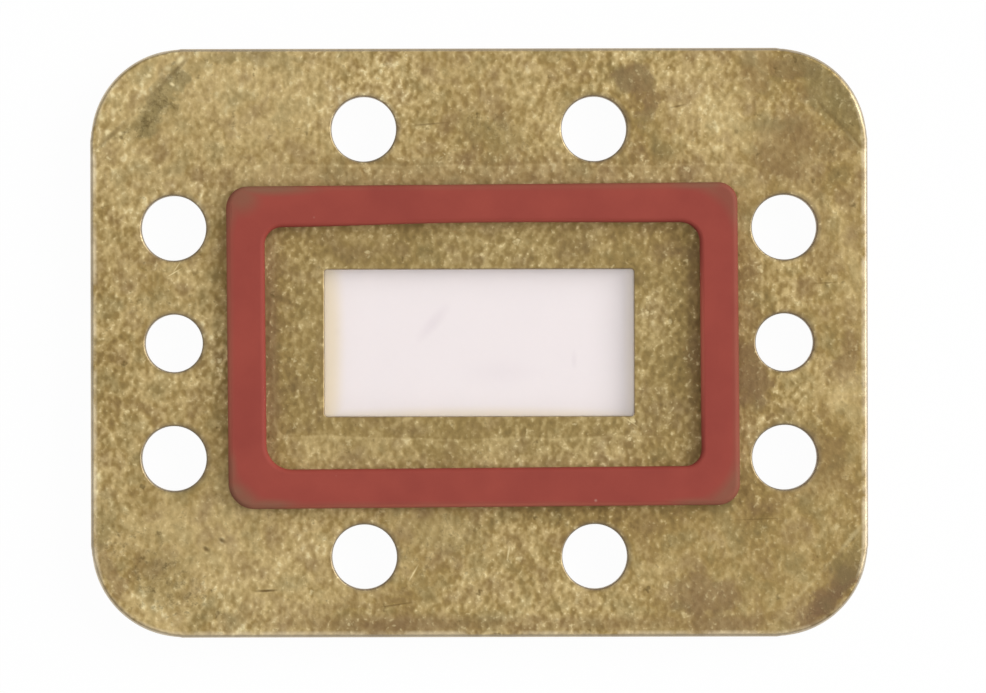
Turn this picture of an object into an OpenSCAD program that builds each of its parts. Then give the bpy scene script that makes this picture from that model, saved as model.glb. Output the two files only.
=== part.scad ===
// Waveguide pressure window: two brass plates that hold a dielectric sheet
// across a rectangular aperture, with a moulded rubber gasket on the front.
// The rear face lies on z = 0 and the gasket is on top, towards +Z.
// X runs along the long side, and the origin is under the plates' middle.

/* [Plates] */
// Length of both plates
plate_l = 54; // [50:0.1:60]
// Width of both plates
plate_w = 40.9; // [38:0.1:46]
// Radius of the plates' corners
corner_r = 6.35; // [3:0.05:8]
// Thickness of the front plate
front_t = 1.2; // [0.8:0.1:3]
// Thickness of the rear plate
rear_t = 2; // [1.2:0.1:4]
// Broken edge on the outer faces, at the rims, holes and aperture
edge_break = 0.15; // [0.05:0.05:0.3]
// Broken edge where the two plates meet
seam_break = 0.1; // [0.05:0.05:0.2]

/* [Holes] */
// Diameter of the eight bolt holes
bolt_d = 4.5; // [3.5:0.05:5]
// Diameter of the two locating holes
locating_d = 4; // [3:0.05:4.5]
// Distance between the two columns of side holes
column_pitch = 42.42; // [41:0.01:45]
// Distance between the upper and lower pair of holes
row_pitch = 29.72; // [28:0.01:33]
// Distance between the outer holes of a column, and of a pair
group_pitch = 16; // [12:0.05:20]

/* [Aperture] */
// Length of the aperture, along the guide's broad wall
aperture_l = 21.5; // [18:0.1:23]
// Width of the aperture, along the guide's narrow wall
aperture_w = 10.2; // [8:0.1:11]
// Radius of the aperture's corners
aperture_r = 0.25; // [0.1:0.05:1]

/* [Window sheet] */
// Thickness of the dielectric sheet
sheet_t = 0.25; // [0.1:0.05:0.6]
// How far the sheet reaches under the plate on each side
sheet_lap = 2; // [1:0.1:2.5]
// Radius of the pocket's corners
pocket_r = 1; // [0.5:0.1:2]
// Gap between the sheet's edge and the pocket's wall
pocket_gap = 0.1; // [0.05:0.05:0.3]
// Thickness of each bonding film
bond_t = 0.1; // [0.05:0.01:0.2]
// How far each bonding film stays back from the aperture
bond_setback = 0.2; // [0.1:0.05:0.5]

/* [Gasket] */
// Thickness of the gasket
gasket_t = 1.6; // [1:0.1:2.5]
// Width of the gasket's bars
gasket_bar = 2.65; // [1.5:0.05:2.8]
// Plate left bare between the aperture and the gasket, at each end
gasket_clear_l = 4.35; // [3.4:0.05:4.6]
// Plate left bare between the aperture and the gasket, at each long side
gasket_clear_w = 3.45; // [2.4:0.05:3.6]
// Radius of the gasket's outer corners
gasket_outer_r = 1.3; // [0.8:0.05:2.5]
// Radius of the gasket's inner corners
gasket_inner_r = 0.95; // [0.4:0.05:2]
// Rounding along the gasket's moulded edges
gasket_edge_r = 0.4; // [0.1:0.05:0.45]
// Shift of the loose gasket along X
gasket_x = 0.27; // [-0.3:0.01:0.3]
// Shift of the loose gasket along Y
gasket_y = -0.2; // [-0.3:0.01:0.3]
// Turn of the loose gasket, in degrees
gasket_turn = 0.4; // [-1:0.05:1]

/* [Hidden] */
$fn = 96;
brass = "#a8925f";
dielectric = "#f0e6e7";
bonding_film = "#c8a468";
red_rubber = "#9a4b41";

// How far a cutting shape runs past the face it cuts
over = 1;

sheet_l = aperture_l + 2 * sheet_lap;
sheet_w = aperture_w + 2 * sheet_lap;
sheet_r = pocket_r - pocket_gap;
pocket_l = sheet_l + 2 * pocket_gap;
pocket_w = sheet_w + 2 * pocket_gap;
pocket_depth = sheet_t + 2 * bond_t;
pocket_floor = rear_t - pocket_depth;
bond_inner_l = aperture_l + 2 * bond_setback;
bond_inner_w = aperture_w + 2 * bond_setback;
front_face = rear_t + front_t;
gasket_inner_l = aperture_l + 2 * gasket_clear_l;
gasket_inner_w = aperture_w + 2 * gasket_clear_w;
gasket_outer_l = gasket_inner_l + 2 * gasket_bar;
gasket_outer_w = gasket_inner_w + 2 * gasket_bar;

// Puts its children at the four corners of a rectangle
module at_corners(l, w) {
    for (x = [-l / 2, l / 2], y = [-w / 2, w / 2]) translate([x, y, 0]) children();
}

// Four-sided profile, h high, whose width grows by grow on each side
module slanted_profile(w, h, grow) {
    polygon([[-w / 2, 0], [w / 2, 0], [w / 2 + grow, h], [-w / 2 - grow, h]]);
}

// Block with round corners whose outline grows by grow from bottom to top
module corner_block(l, w, r, h, grow = 0) {
    at_corners(l - 2 * r, w - 2 * r) cylinder(h = h, r1 = r, r2 = r + grow);
    rotate([90, 0, 90]) linear_extrude(l - 2 * r, center = true) slanted_profile(w, h, grow);
    rotate([90, 0, 0]) linear_extrude(w - 2 * r, center = true) slanted_profile(l, h, grow);
}

// Plate from z = 0 to t with a broken edge low and high
module plate_blank(t, low, high) {
    corner_block(plate_l - 2 * low, plate_w - 2 * low, corner_r - low, low, low);
    translate([0, 0, low]) corner_block(plate_l, plate_w, corner_r, t - low - high);
    translate([0, 0, t - high]) corner_block(plate_l, plate_w, corner_r, high, -high);
}

// Bore through a plate that lies from z = 0 to t, broken at the face named by front
module hole_cut(d, t, front) {
    translate([0, 0, -over]) cylinder(h = t + 2 * over, d = d);
    if (front) {
        translate([0, 0, t - edge_break])
            cylinder(h = edge_break + over, d1 = d, d2 = d + 2 * (edge_break + over));
    } else {
        translate([0, 0, -over])
            cylinder(h = edge_break + over, d1 = d + 2 * (edge_break + over), d2 = d);
    }
}

// Every hole of the flange pattern, and the aperture
module flange_cuts(t, front) {
    at_corners(column_pitch, group_pitch) hole_cut(bolt_d, t, front);
    at_corners(group_pitch, row_pitch) hole_cut(bolt_d, t, front);
    for (x = [-column_pitch / 2, column_pitch / 2]) translate([x, 0, 0]) hole_cut(locating_d, t, front);
    aperture_cut(t, front);
}

// Rectangular aperture through a plate, broken at the face named by front
module aperture_cut(t, front) {
    reach = edge_break + over;
    translate([0, 0, -over]) corner_block(aperture_l, aperture_w, aperture_r, t + 2 * over);
    if (front) {
        translate([0, 0, t - edge_break]) corner_block(aperture_l, aperture_w, aperture_r, reach, reach);
    } else {
        translate([0, 0, -over])
            corner_block(aperture_l + 2 * reach, aperture_w + 2 * reach, aperture_r + reach, reach, -reach);
    }
}

// Flat film with a window in it, for the sheet's rim
module bond_frame() {
    difference() {
        corner_block(sheet_l, sheet_w, sheet_r, bond_t);
        translate([0, 0, -over])
            corner_block(bond_inner_l, bond_inner_w, aperture_r + bond_setback, bond_t + 2 * over);
    }
}

// Half of a moulded section from the middle out to half_w, with its two outer edges rounded
module half_section(half_w) {
    square([half_w - gasket_edge_r, gasket_t]);
    translate([0, gasket_edge_r]) square([half_w, gasket_t - 2 * gasket_edge_r]);
    for (y = [gasket_edge_r, gasket_t - gasket_edge_r])
        translate([half_w - gasket_edge_r, y]) circle(gasket_edge_r);
}

// Half of the space inside the ring, flared at both ends round the moulded edges
module half_space(half_w) {
    difference() {
        translate([0, -over]) square([half_w + gasket_edge_r, gasket_t + 2 * over]);
        translate([half_w, gasket_edge_r]) square([2 * gasket_edge_r, gasket_t - 2 * gasket_edge_r]);
        for (y = [gasket_edge_r, gasket_t - gasket_edge_r])
            translate([half_w + gasket_edge_r, y]) circle(gasket_edge_r);
    }
}

// Moulded block with round corners: children(0) is its half section at the corner's
// radius, children(1) across its width and children(2) along its length
module moulded_block(l, w, r) {
    at_corners(l - 2 * r, w - 2 * r) rotate_extrude() children(0);
    rotate([90, 0, 90]) linear_extrude(l - 2 * r, center = true) {
        children(1);
        mirror([1, 0]) children(1);
    }
    rotate([90, 0, 0]) linear_extrude(w - 2 * r, center = true) {
        children(2);
        mirror([1, 0]) children(2);
    }
}

module front_plate() {
    color(brass) translate([0, 0, rear_t]) difference() {
        plate_blank(front_t, seam_break, edge_break);
        flange_cuts(front_t, true);
    }
}

module rear_plate() {
    color(brass) difference() {
        plate_blank(rear_t, edge_break, seam_break);
        flange_cuts(rear_t, false);
        translate([0, 0, pocket_floor]) corner_block(pocket_l, pocket_w, pocket_r, pocket_depth + over);
    }
}

module window_sheet() {
    color(dielectric) translate([0, 0, pocket_floor + bond_t])
        corner_block(sheet_l, sheet_w, sheet_r, sheet_t);
}

module front_bond() {
    color(bonding_film) translate([0, 0, rear_t - bond_t]) bond_frame();
}

module rear_bond() {
    color(bonding_film) translate([0, 0, pocket_floor]) bond_frame();
}

module gasket() {
    color(red_rubber) translate([gasket_x, gasket_y, front_face]) rotate(gasket_turn) difference() {
        moulded_block(gasket_outer_l, gasket_outer_w, gasket_outer_r) {
            half_section(gasket_outer_r);
            half_section(gasket_outer_w / 2);
            half_section(gasket_outer_l / 2);
        }
        moulded_block(gasket_inner_l, gasket_inner_w, gasket_inner_r) {
            half_space(gasket_inner_r);
            half_space(gasket_inner_w / 2);
            half_space(gasket_inner_l / 2);
        }
    }
}

front_plate();
rear_plate();
window_sheet();
front_bond();
rear_bond();
gasket();
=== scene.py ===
"""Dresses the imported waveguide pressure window: a brass sandwich with a gasket, seen from above.

All sizes are in metres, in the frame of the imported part: the rear face lies on z = 0, X runs
along the long side and Z points out of the front face.
"""

import math
from collections import namedtuple
from functools import partial

import bmesh
import bpy
from bpy.props import FloatProperty, FloatVectorProperty, PointerProperty
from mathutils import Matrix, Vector


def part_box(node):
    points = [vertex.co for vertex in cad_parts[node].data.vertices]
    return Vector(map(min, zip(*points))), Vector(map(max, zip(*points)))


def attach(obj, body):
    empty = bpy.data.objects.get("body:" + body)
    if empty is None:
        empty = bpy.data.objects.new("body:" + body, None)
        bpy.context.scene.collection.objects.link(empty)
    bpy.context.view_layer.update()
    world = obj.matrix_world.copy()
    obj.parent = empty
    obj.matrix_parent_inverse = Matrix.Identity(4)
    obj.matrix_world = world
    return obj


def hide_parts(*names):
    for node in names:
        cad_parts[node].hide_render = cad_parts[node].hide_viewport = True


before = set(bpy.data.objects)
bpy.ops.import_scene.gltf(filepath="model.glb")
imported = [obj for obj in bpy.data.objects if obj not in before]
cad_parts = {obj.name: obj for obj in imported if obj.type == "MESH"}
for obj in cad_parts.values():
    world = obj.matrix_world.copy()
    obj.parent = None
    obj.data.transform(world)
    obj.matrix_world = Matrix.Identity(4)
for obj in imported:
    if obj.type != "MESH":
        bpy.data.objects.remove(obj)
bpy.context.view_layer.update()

bl_info = {
    "name": "Waveguide pressure window",
    "version": (1, 0, 0),
    "blender": (4, 5, 0),
    "location": "3D View > Sidebar > Window",
    "description": "Models and dresses a flange pressure window with its gasket",
    "category": "Add Mesh",
}

MM = 0.001
BODY = "root"

plate_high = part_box("front_plate")[1]
rear_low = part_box("rear_plate")[0]
pocket_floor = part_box("rear_bond")[0].z
sheet_low, sheet_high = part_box("window_sheet")
gasket_low, gasket_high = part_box("gasket")

# Where the middle of the loose gasket lies, and the way it is turned
GASKET_CENTRE = (gasket_low + gasket_high) / 2
GASKET_TURN = math.radians(0.4)

# Places closer than this are the same, and an edge this near to an outline belongs to it
SAME = 0.001 * MM
NEAR = 0.05 * MM
# How far a cutting shape runs past the face that it cuts
OVER = MM
# Least share of Z in the direction of an upright edge, and in the normal of a level face
UPRIGHT = 0.99
LEVEL = 0.9
# Faces that meet at less than this angle are shaded as one
SMOOTH_ANGLE = math.radians(50)
# Weight that makes the large flat faces decide the shading
FLAT_WEIGHT = 100
# Sides of the round cutters
HOLE_SIDES = 96
# Lines along which a corner is bent up, as distances from the first
LIFT_STEPS = (0.0, 0.5 * MM)
# Distance between the slices that let a long bar bend, in whole millimetres
SLICE_MM = 2
# Length of the bar's end that sags in full, and the length over which the sag fades
SAG_END = 1.5 * MM
SAG_FADE = 13 * MM
# Sockets of a Mix node set to colours: the two colours that go in and the one that comes out
MIX_UNDER = 6
MIX_OVER = 7
MIX_RESULT = 2

# Noise of the brass, and the masks of its larger marks
Grain = namedtuple("Grain", "slow patch fine strokes")
Stains = namedtuple("Stains", "brown olive pale grime bare")
# A soft box that faces the object: where it hangs, its sides in metres and its radiance
Lamp = namedtuple("Lamp", "name place width height radiance")


def linear(hex_code):
    """Linear red, green and blue of an sRGB colour written as hex."""
    channels = [int(hex_code[i:i + 2], 16) / 255 for i in (1, 3, 5)]
    return [c / 12.92 if c <= 0.04045 else ((c + 0.055) / 1.055) ** 2.4 for c in channels]


def colour(name, text, hex_code):
    """Colour property whose default is an sRGB hex value."""
    return FloatVectorProperty(
        name=name, description=text, subtype="COLOR", size=3, min=0, max=1, default=linear(hex_code)
    )


def length(name, text, millimetres):
    """Length property whose default is given in millimetres."""
    return FloatProperty(
        name=name, description=text, unit="LENGTH", min=0, precision=5, default=millimetres * MM
    )


def corner_radii(name, text, *millimetres):
    """Radii of the corners at lower left, lower right, upper left and upper right."""
    radii = [radius * MM for radius in millimetres]
    return FloatVectorProperty(
        name=name, description=text, unit="LENGTH", size=4, min=0, precision=5, default=radii
    )


def share(name, text, value):
    """Plain factor from 0 to 1."""
    return FloatProperty(name=name, description=text, subtype="FACTOR", min=0, max=1, default=value)


def angle(name, text, degrees):
    """Angle property whose default is given in degrees."""
    return FloatProperty(name=name, description=text, subtype="ANGLE", default=math.radians(degrees))


class PlateSizes(bpy.types.PropertyGroup):
    """Sizes of the two brass plates and of the sheet between them."""

    corner_radius: length("Corner radius", "Radius of the plates' corners", 6.35)
    edge_round: length("Edge rounding", "Worn rounding along the plates' outline", 0.24)
    hole_round: length("Hole rounding", "Rounding of the holes' rims", 0.14)
    aperture_round: length("Aperture rounding", "Rounding of the aperture's rim", 0.1)
    seam_round: length("Seam rounding", "Broken edge where the plates meet", 0.1)
    bolt_diameter: length("Bolt hole", "Diameter of the eight bolt holes", 4.5)
    locating_diameter: length("Locating hole", "Diameter of the two locating holes", 4.0)
    column_pitch: length("Column pitch", "Distance between the columns of side holes", 42.42)
    row_pitch: length("Row pitch", "Distance between the upper and lower holes", 29.72)
    group_pitch: length("Group pitch", "Distance between the outer holes of a group", 16.0)
    aperture_length: length("Aperture length", "Aperture along the broad wall", 21.5)
    aperture_width: length("Aperture width", "Aperture along the narrow wall", 10.2)
    aperture_radius: length("Aperture corner", "Radius of the aperture's corners", 0.2)
    pocket_gap: length("Pocket gap", "Gap between the sheet and its pocket", 0.1)
    pocket_radius: length("Pocket corner", "Radius of the pocket's corners", 1.0)
    sheet_round: length("Sheet rounding", "Rounding of the sheet's cut edges", 0.03)
    corner_lift: angle("Corner lift", "Angle by which knocks have bent the corners up", 2.2)


class GasketSizes(bpy.types.PropertyGroup):
    """Sizes of the moulded gasket."""

    outer_length: length("Outer length", "Outline along X", 35.5)
    outer_width: length("Outer width", "Outline along Y", 22.4)
    bar_width: length("Bar width", "Width of the ring's bars", 2.65)
    outer_corners: corner_radii("Outer corners", "Radii of the outline's corners", 1.8, 1.5, 1.5, 1.35)
    inner_corners: corner_radii("Inner corners", "Radii inside the ring", 1.75, 1.15, 1.2, 1.35)
    edge_round: length("Edge rounding", "Rounding along the moulded edges", 0.35)
    bottom_swell: length("Bottom swell", "How much wider the bottom bar has spread", 0.07)
    left_sag: length("Left sag", "How much wider the top bar is at its left end", 0.2)
    right_sag: length("Right sag", "How much wider the top bar is at its right end", 0.1)


class BrassFinish(bpy.types.PropertyGroup):
    """Colours and grain of dull rolled brass."""

    dark: colour("Dark", "Oxide in the grain", "#6E5731")
    oxide: colour("Oxide specks", "Pits and specks of dark oxide", "#6B5A35")
    middle: colour("Middle", "Plain dull brass", "#AB915B")
    light: colour("Light", "Rubbed high spots", "#DBC28A")
    fleck: colour("Fleck", "Bright metal in small flecks", "#FFEDB8")
    brown: colour("Brown stain", "Warm oxide stain", "#896E50")
    olive: colour("Olive stain", "Greenish oxide stain", "#847A54")
    rim: colour("Rim", "Bare metal along worn edges", "#F4E3C0")
    turned: colour("Turned", "Neutral metal on the rounded rims", "#CDC0AC")
    # Colour of the painted shade round the holes
    hole_shade: colour("Packed dirt", "Grey dirt round the holes", "#75695A")
    roughness: share("Roughness", "Roughness of the dull face", 0.5)
    grain: length("Grain", "Width of the rubbing strokes", 0.36)


class RubberFinish(bpy.types.PropertyGroup):
    """Colours of the moulded silicone."""

    base: colour("Base", "Red silicone", "#A2493D")
    shade: colour("Shade", "Darker mottling", "#984238")
    # Colour of the painted light on the ring's shaded edges
    pale: colour("Pale edge", "Rubbed edges", "#CC6C58")
    dirt: colour("Dirt", "Brass dust rubbed into the edges", "#7A674D")
    dust: colour("Dust", "Pale dust specks", "#C79C8C")
    roughness: share("Roughness", "Roughness of the moulded skin", 0.62)
    soiled_corner: length("Soiled corner", "Radius that the dirt follows round the ring", 4)


class SheetFinish(bpy.types.PropertyGroup):
    """Colours of the window sheet and its bond."""

    base: colour("Base", "Pale translucent dielectric", "#FCF5F5")
    smudge: colour("Smudge", "Faint handling marks", "#E6DCE0")
    # Painted light: warm light bounced off the lit brass walls onto the sheet's rim
    bounce_light: colour("Haze", "Warm haze of adhesive near the edges", "#F6E9D2")
    bond: colour("Bond", "Amber bonding film", "#C8A468")
    roughness: share("Roughness", "Roughness of the matt sheet", 0.5)


class StageSettings(bpy.types.PropertyGroup):
    """Camera, floor and room."""

    lens: FloatProperty(name="Lens", description="Focal length in mm", min=1, default=700)
    view_width: length("View width", "Width of the floor that the picture spans", 68.5)
    aim_x: length("Aim X", "Where the camera looks, along X", 0.96)
    aim_y: FloatProperty(
        name="Aim Y", description="Where the camera looks, along Y", unit="LENGTH", default=-0.26 * MM
    )
    roll: angle("Roll", "How far the picture shows the object turned to the left", 0.12)
    floor_size: length("Floor size", "Side of the square floor", 6000)
    clip_start: length("Clip start", "Nearest distance that the camera sees", 50)
    clip_end: length("Clip end", "Farthest distance that the camera sees", 20000)
    room_light: FloatProperty(name="Room light", description="Light of the white room", min=0, default=0.36)


GROUPS = {
    "window_plates": PlateSizes,
    "window_gasket": GasketSizes,
    "window_brass": BrassFinish,
    "window_rubber": RubberFinish,
    "window_sheet": SheetFinish,
    "window_stage": StageSettings,
}


def feed(node, inputs):
    """Set or link a node's inputs. Each is a value, a node whose first output is meant, or a
    node and the name of its output."""
    for socket, value in dict(inputs).items():
        source = value if isinstance(value, tuple) else (value, 0)
        if isinstance(source[0], bpy.types.Node):
            node.id_data.links.new(source[0].outputs[source[1]], node.inputs[socket])
        else:
            node.inputs[socket].default_value = value


def add_node(tree, kind, inputs=(), stops=(), **settings):
    """Add a node with its settings and inputs. Stops are a colour ramp's places and colours."""
    node = tree.nodes.new("ShaderNode" + kind)
    for name, value in settings.items():
        setattr(node, name, value)
    feed(node, inputs)
    for index, (place, shade) in enumerate(stops):
        elements = node.color_ramp.elements
        element = elements[index] if index < len(elements) else elements.new(place)
        element.position = place
        element.color = opaque(shade)
    return node


def opaque(shade):
    """Four channels of a colour, with full alpha."""
    return (*shade[:3], 1)


def new_material(name):
    """Empty node material, the function that adds a node to it, its shader, and the place on
    the piece that its patterns read."""
    material = bpy.data.materials.new(name)
    material.use_nodes = True
    add = partial(add_node, material.node_tree)
    place = (add("TexCoord"), "Object")
    return material, add, material.node_tree.nodes["Principled BSDF"], place


def box_distance(add, place, centre, half_x, half_y, radius):
    """Node that gives the distance outside a rectangle with round corners, below zero inside."""
    moved = add("VectorMath", {0: place, 1: (centre[0], centre[1], 0)}, operation="SUBTRACT")
    flat = add("VectorMath", {0: moved, 1: (1, 1, 0)}, operation="MULTIPLY")
    folded = add("VectorMath", {0: flat}, operation="ABSOLUTE")
    core = (half_x - radius, half_y - radius, 0)
    past = add("VectorMath", {0: folded, 1: core}, operation="SUBTRACT")
    outside = add("VectorMath", {0: past, 1: (0, 0, 0)}, operation="MAXIMUM")
    reach = add("VectorMath", {0: outside}, operation="LENGTH")
    parts = add("SeparateXYZ", {0: past})
    nearest = add("Math", {0: (parts, "X"), 1: (parts, "Y")}, operation="MAXIMUM")
    inside = add("Math", {0: nearest, 1: 0.0}, operation="MINIMUM")
    total = add("Math", {0: (reach, "Value"), 1: inside}, operation="ADD")
    return add("Math", {0: total, 1: radius}, operation="SUBTRACT")


def mark_mask(add, place, marks, softness):
    """Node that gives how strongly any of these marks covers a point. A mark is a soft-edged
    oval, and softness is the share of its half size over which it fades."""
    reach = 1 + softness / 2
    covered = None
    for x, y, half_x, half_y, turn, strength in marks:
        oval = {
            "Vector": place,
            "Location": (x * MM, y * MM, 0),
            "Rotation": (0, 0, math.radians(turn)),
            "Scale": (half_x * reach * MM, half_y * reach * MM, 1),
        }
        local = add("Mapping", oval, vector_type="TEXTURE")
        near = add("TexGradient", {"Vector": local}, gradient_type="SPHERICAL")
        fade = {"Value": (near, "Fac"), "From Max": softness / reach, "To Max": strength}
        cover = add("MapRange", fade, interpolation_type="SMOOTHSTEP")
        if covered is None:
            covered = cover
        else:
            covered = add("Math", {0: covered, 1: cover}, operation="MAXIMUM")
    return covered


def wandering(add, place, size, reach, detail, roughness):
    """Node with the place shifted by noise of a given size, up to half the reach each way, so
    that an outline looked up there wavers."""
    drift = add("TexNoise", {"Vector": place, "Scale": 1 / size, "Detail": detail, "Roughness": roughness})
    drift = add("VectorMath", {0: (drift, "Color"), 1: (0.5, 0.5, 0.5)}, operation="SUBTRACT")
    drift = add("VectorMath", {0: drift, "Scale": reach}, operation="SCALE")
    return add("VectorMath", {0: place, 1: drift}, operation="ADD")


def weighted(add, total, parts):
    """Node that adds each part, times its weight, to a total."""
    for part, weight in parts:
        total = add("Math", {0: part, 1: weight, 2: total}, operation="MULTIPLY_ADD")
    return total


def painted(add, skin, layers):
    """Colour with others laid over it, each as strongly as its mask says."""
    for mask, shade in layers:
        colours = {0: mask, MIX_UNDER: skin, MIX_OVER: opaque(shade)}
        skin = (add("Mix", colours, data_type="RGBA"), MIX_RESULT)
    return skin


def link_surface(add, shader, skin, pattern, roughness, height, strength, depth):
    """Give the shader its colour, its roughness, which runs between two values as a pattern
    does, and its relief."""
    rough = add("MapRange", {"Value": pattern, "To Min": roughness[0], "To Max": roughness[1]})
    bump = add("Bump", {"Height": height, "Strength": strength, "Distance": depth})
    feed(shader, {"Base Color": skin, "Roughness": rough, "Normal": bump})


# The tables of marks give x and y of each mark's middle and its two half sizes in mm, its turn
# in degrees and its strength. First come warm stains: those of the front face alone, and then
# those that the rear has too
FRONT_BROWN = (
    (21.3, 13.7, 2.2, 2.5, 0, 0.58),
    (24.4, 13.6, 2.4, 0.9, 0, 0.45),
    (19.2, 19.2, 1.5, 1.3, 0, 0.45),
    (21.7, 19.0, 1.6, 0.9, 0, 0.5),
    (10.7, 18.0, 1.4, 1.3, 0, 0.75),
    (11.5, 16.3, 0.7, 1.3, 5, 0.65),
    (25.6, -1.0, 0.9, 2.4, 0, 0.6),
    (23.4, 9.0, 0.9, 4.0, 0, 0.3),
    (18.9, -2.0, 1.4, 2.2, 0, 0.8),
    (21.8, -18.5, 1.8, 1.0, 10, 0.45),
    (-25.8, -15.4, 0.7, 2.6, 15, 0.55),
)
BROWN = (
    (16.0, -17.8, 2.6, 1.7, 10, 0.75),
    (24.0, -8.0, 1.4, 2.4, 20, 0.35),
    (22.0, -9.4, 2.6, 1.6, -10, 0.3),
    (24.2, -17.7, 3.4, 1.25, 45, 0.95),
    (23.9, -17.6, 2.4, 0.9, 42, 1.0),
    (-9.0, -18.3, 5.0, 0.4, 6, 0.3),
    (-16.5, -19.3, 2.0, 0.6, 0, 0.3),
)
# Greenish stains, divided in the same way
FRONT_OLIVE = (
    (-23.1, 16.8, 4.2, 0.5, 44, 0.45),
    (-23.0, 16.1, 1.5, 1.1, 40, 0.62),
    (-21.6, 17.5, 0.9, 0.6, 44, 0.6),
    (-20.7, 18.5, 0.9, 0.7, 40, 0.7),
    (24.7, 17.0, 3.8, 1.4, -47, 0.6),
    (-15.5, 19.6, 4.0, 0.5, 0, 0.35),
)
OLIVE = (
    (0.8, 14.5, 2.4, 1.4, 0, 0.3),
    (25.7, -15.4, 2.0, 1.0, 50, 0.5),
    (20.6, -6.0, 1.6, 1.2, 0, 0.3),
    (-26.0, -12.3, 0.5, 1.8, 0, 0.4),
    (-21.8, -16.0, 1.8, 1.4, -30, 0.2),
    (0.3, -0.2, 17.5, 10.5, 0, 0.25),
    (-2.4, -13.2, 2.6, 1.4, 0, 0.25),
    (-14.0, -11.6, 3.0, 0.6, 0, 0.2),
)
# Patches rubbed pale, divided in the same way
FRONT_PALE = (
    (-14.5, 17.0, 7.0, 3.6, -10, 0.52),
    (-22.2, 18.6, 2.4, 1.3, 40, 0.95),
    (-21.7, 14.9, 1.3, 1.5, 40, 0.6),
    (-21.7, 11.8, 1.2, 1.0, 0, 0.35),
    (-4.9, -15.4, 1.7, 1.6, 0, 0.35),
    (-24.2, 12.6, 2.4, 3.0, 30, 0.42),
)
PALE = (
    (-25.0, 17.4, 1.4, 1.8, 40, 0.5),
    (0.2, 18.3, 3.4, 1.4, 0, 0.5),
    (3.0, 15.4, 3.0, 2.6, 0, 0.4),
    (-21.6, 2.0, 2.2, 7.0, 0, 0.3),
    (-21.4, -13.0, 2.4, 2.8, 0, 0.6),
    (16.6, 15.4, 3.2, 2.8, -20, 0.85),
    (-25.2, -11.8, 1.6, 2.6, 20, 0.32),
    (-22.4, -18.2, 2.2, 1.2, -35, 1.0),
    (-18.6, -13.6, 2.4, 3.8, 0, 0.95),
    (-14.0, -15.6, 5.6, 3.6, 0, 0.55),
    (-3.2, -13.2, 3.4, 2.6, 0, 0.6),
    (-1.5, -17.0, 4.5, 2.0, 0, 0.24),
    (22.4, 10.4, 2.4, 1.4, 0, 0.28),
    (22.2, -15.9, 1.8, 1.2, 40, 0.3),
    (26.0, 6.6, 1.0, 5.2, 0, 0.6),
    (25.9, -4.5, 1.0, 2.6, 0, 0.9),
    (18.8, 19.7, 1.6, 0.5, 0, 0.4),
    (19.8, 5.4, 1.2, 1.6, 0, 0.3),
    (12.0, -16.4, 2.4, 2.2, 0, 0.24),
)
# Dull grime where cloth and air don't reach, and painted shade where the gasket's shadow falls and inside
# the ring, most of it along the gasket's foot
GRIME_AND_SHADE = (
    (19.0, 0.6, 1.6, 6.0, 0, 0.85),
    (19.2, -10.4, 1.9, 3.8, 0, 0.95),
    (9.5, -11.9, 9.0, 1.3, 0, 0.7),
    (15.1, -15.2, 1.8, 1.8, 0, 0.35),
    (18.6, -8.2, 0.9, 2.2, 0, 0.5),
    (25.2, 15.0, 1.2, 1.6, 0, 0.35),
    (25.2, -14.6, 1.4, 2.6, -25, 0.35),
    (15.1, 0.0, 0.5, 8.4, 0, 1.0),
    (14.4, 0.8, 1.3, 8.0, 0, 0.6),
    (12.6, -7.4, 4.0, 1.5, 0, 0.8),
    (13.4, 7.2, 2.4, 1.3, -25, 0.6),
    (11.1, 0.0, 0.6, 5.2, 0, 0.6),
    (-12.6, 6.8, 2.4, 1.5, 0, 0.7),
    (-14.0, -0.3, 1.7, 9.4, 0, 0.9),
    (-17.8, 1.5, 0.8, 8.0, 0, 0.55),
    (-8.6, 18.4, 2.4, 1.6, 0, 0.4),
    (25.4, 11.6, 1.4, 1.8, 0, 0.5),
    (0.0, 0.0, 19.0, 12.0, 0, 0.36),
    (25.6, -2.0, 2.0, 13.0, 0, 0.2),
    (-26.0, -1.5, 1.3, 6.0, 0, 0.5),
    (-26.0, -11.4, 1.2, 2.4, 0, 0.3),
    (-6.2, 19.6, 1.8, 0.8, 0, 0.5),
)
# Brown dirt pressed against the foot of the rubber ring, and along the lower edge, with painted shade at
# the ring's inner right foot, where its shadow falls
FOOT_DIRT_AND_SHADE = (
    (-5.4, -19.6, 5.4, 0.65, 0, 0.6),
    (17.0, -19.6, 2.6, 0.65, 0, 0.6),
    (5.0, -19.5, 15.0, 0.5, 0, 0.3),
    (-14.5, -0.2, 0.5, 9.2, 0.4, 0.65),
    (0.5, 11.3, 18.0, 1.6, 0.4, 0.32),
    (18.6, -0.3, 0.9, 10.0, 0, 0.26),
    (14.9, 0.0, 0.4, 8.4, 0, 0.3),
)
# Painted shade in rings round the holes, the same in all four quarters of the plate, and the shift right
# and up that puts most of it on the side of each hole whose rim turns away from the light
HOLE_SHADE_RINGS = (
    (21.21, 8.0, 2.46, 2.46, 0, 0.42),
    (8.0, 14.86, 2.46, 2.46, 0, 0.42),
    (21.21, 0.0, 2.21, 2.21, 0, 0.42),
)
SHADE_SHIFT = (0.09 * MM, 0.04 * MM, 0)
# Bands where the oxide is dotted with dark specks, along the bent corners and by the holes
SPECKLED_BANDS = (
    (-23.1, 16.8, 4.2, 0.3, 44, 0.55),
    (-22.8, 16.2, 1.9, 0.75, 42, 0.95),
    (-22.4, -16.2, 4.4, 1.9, -42, 0.45),
    (0.6, 14.4, 3.0, 1.6, 0, 0.35),
    (-22.6, 4.0, 2.0, 4.0, 0, 0.25),
    (-9.6, -12.6, 6.0, 1.4, 0, 0.25),
    (-2.0, -14.4, 3.4, 2.4, 0, 0.35),
)
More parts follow.
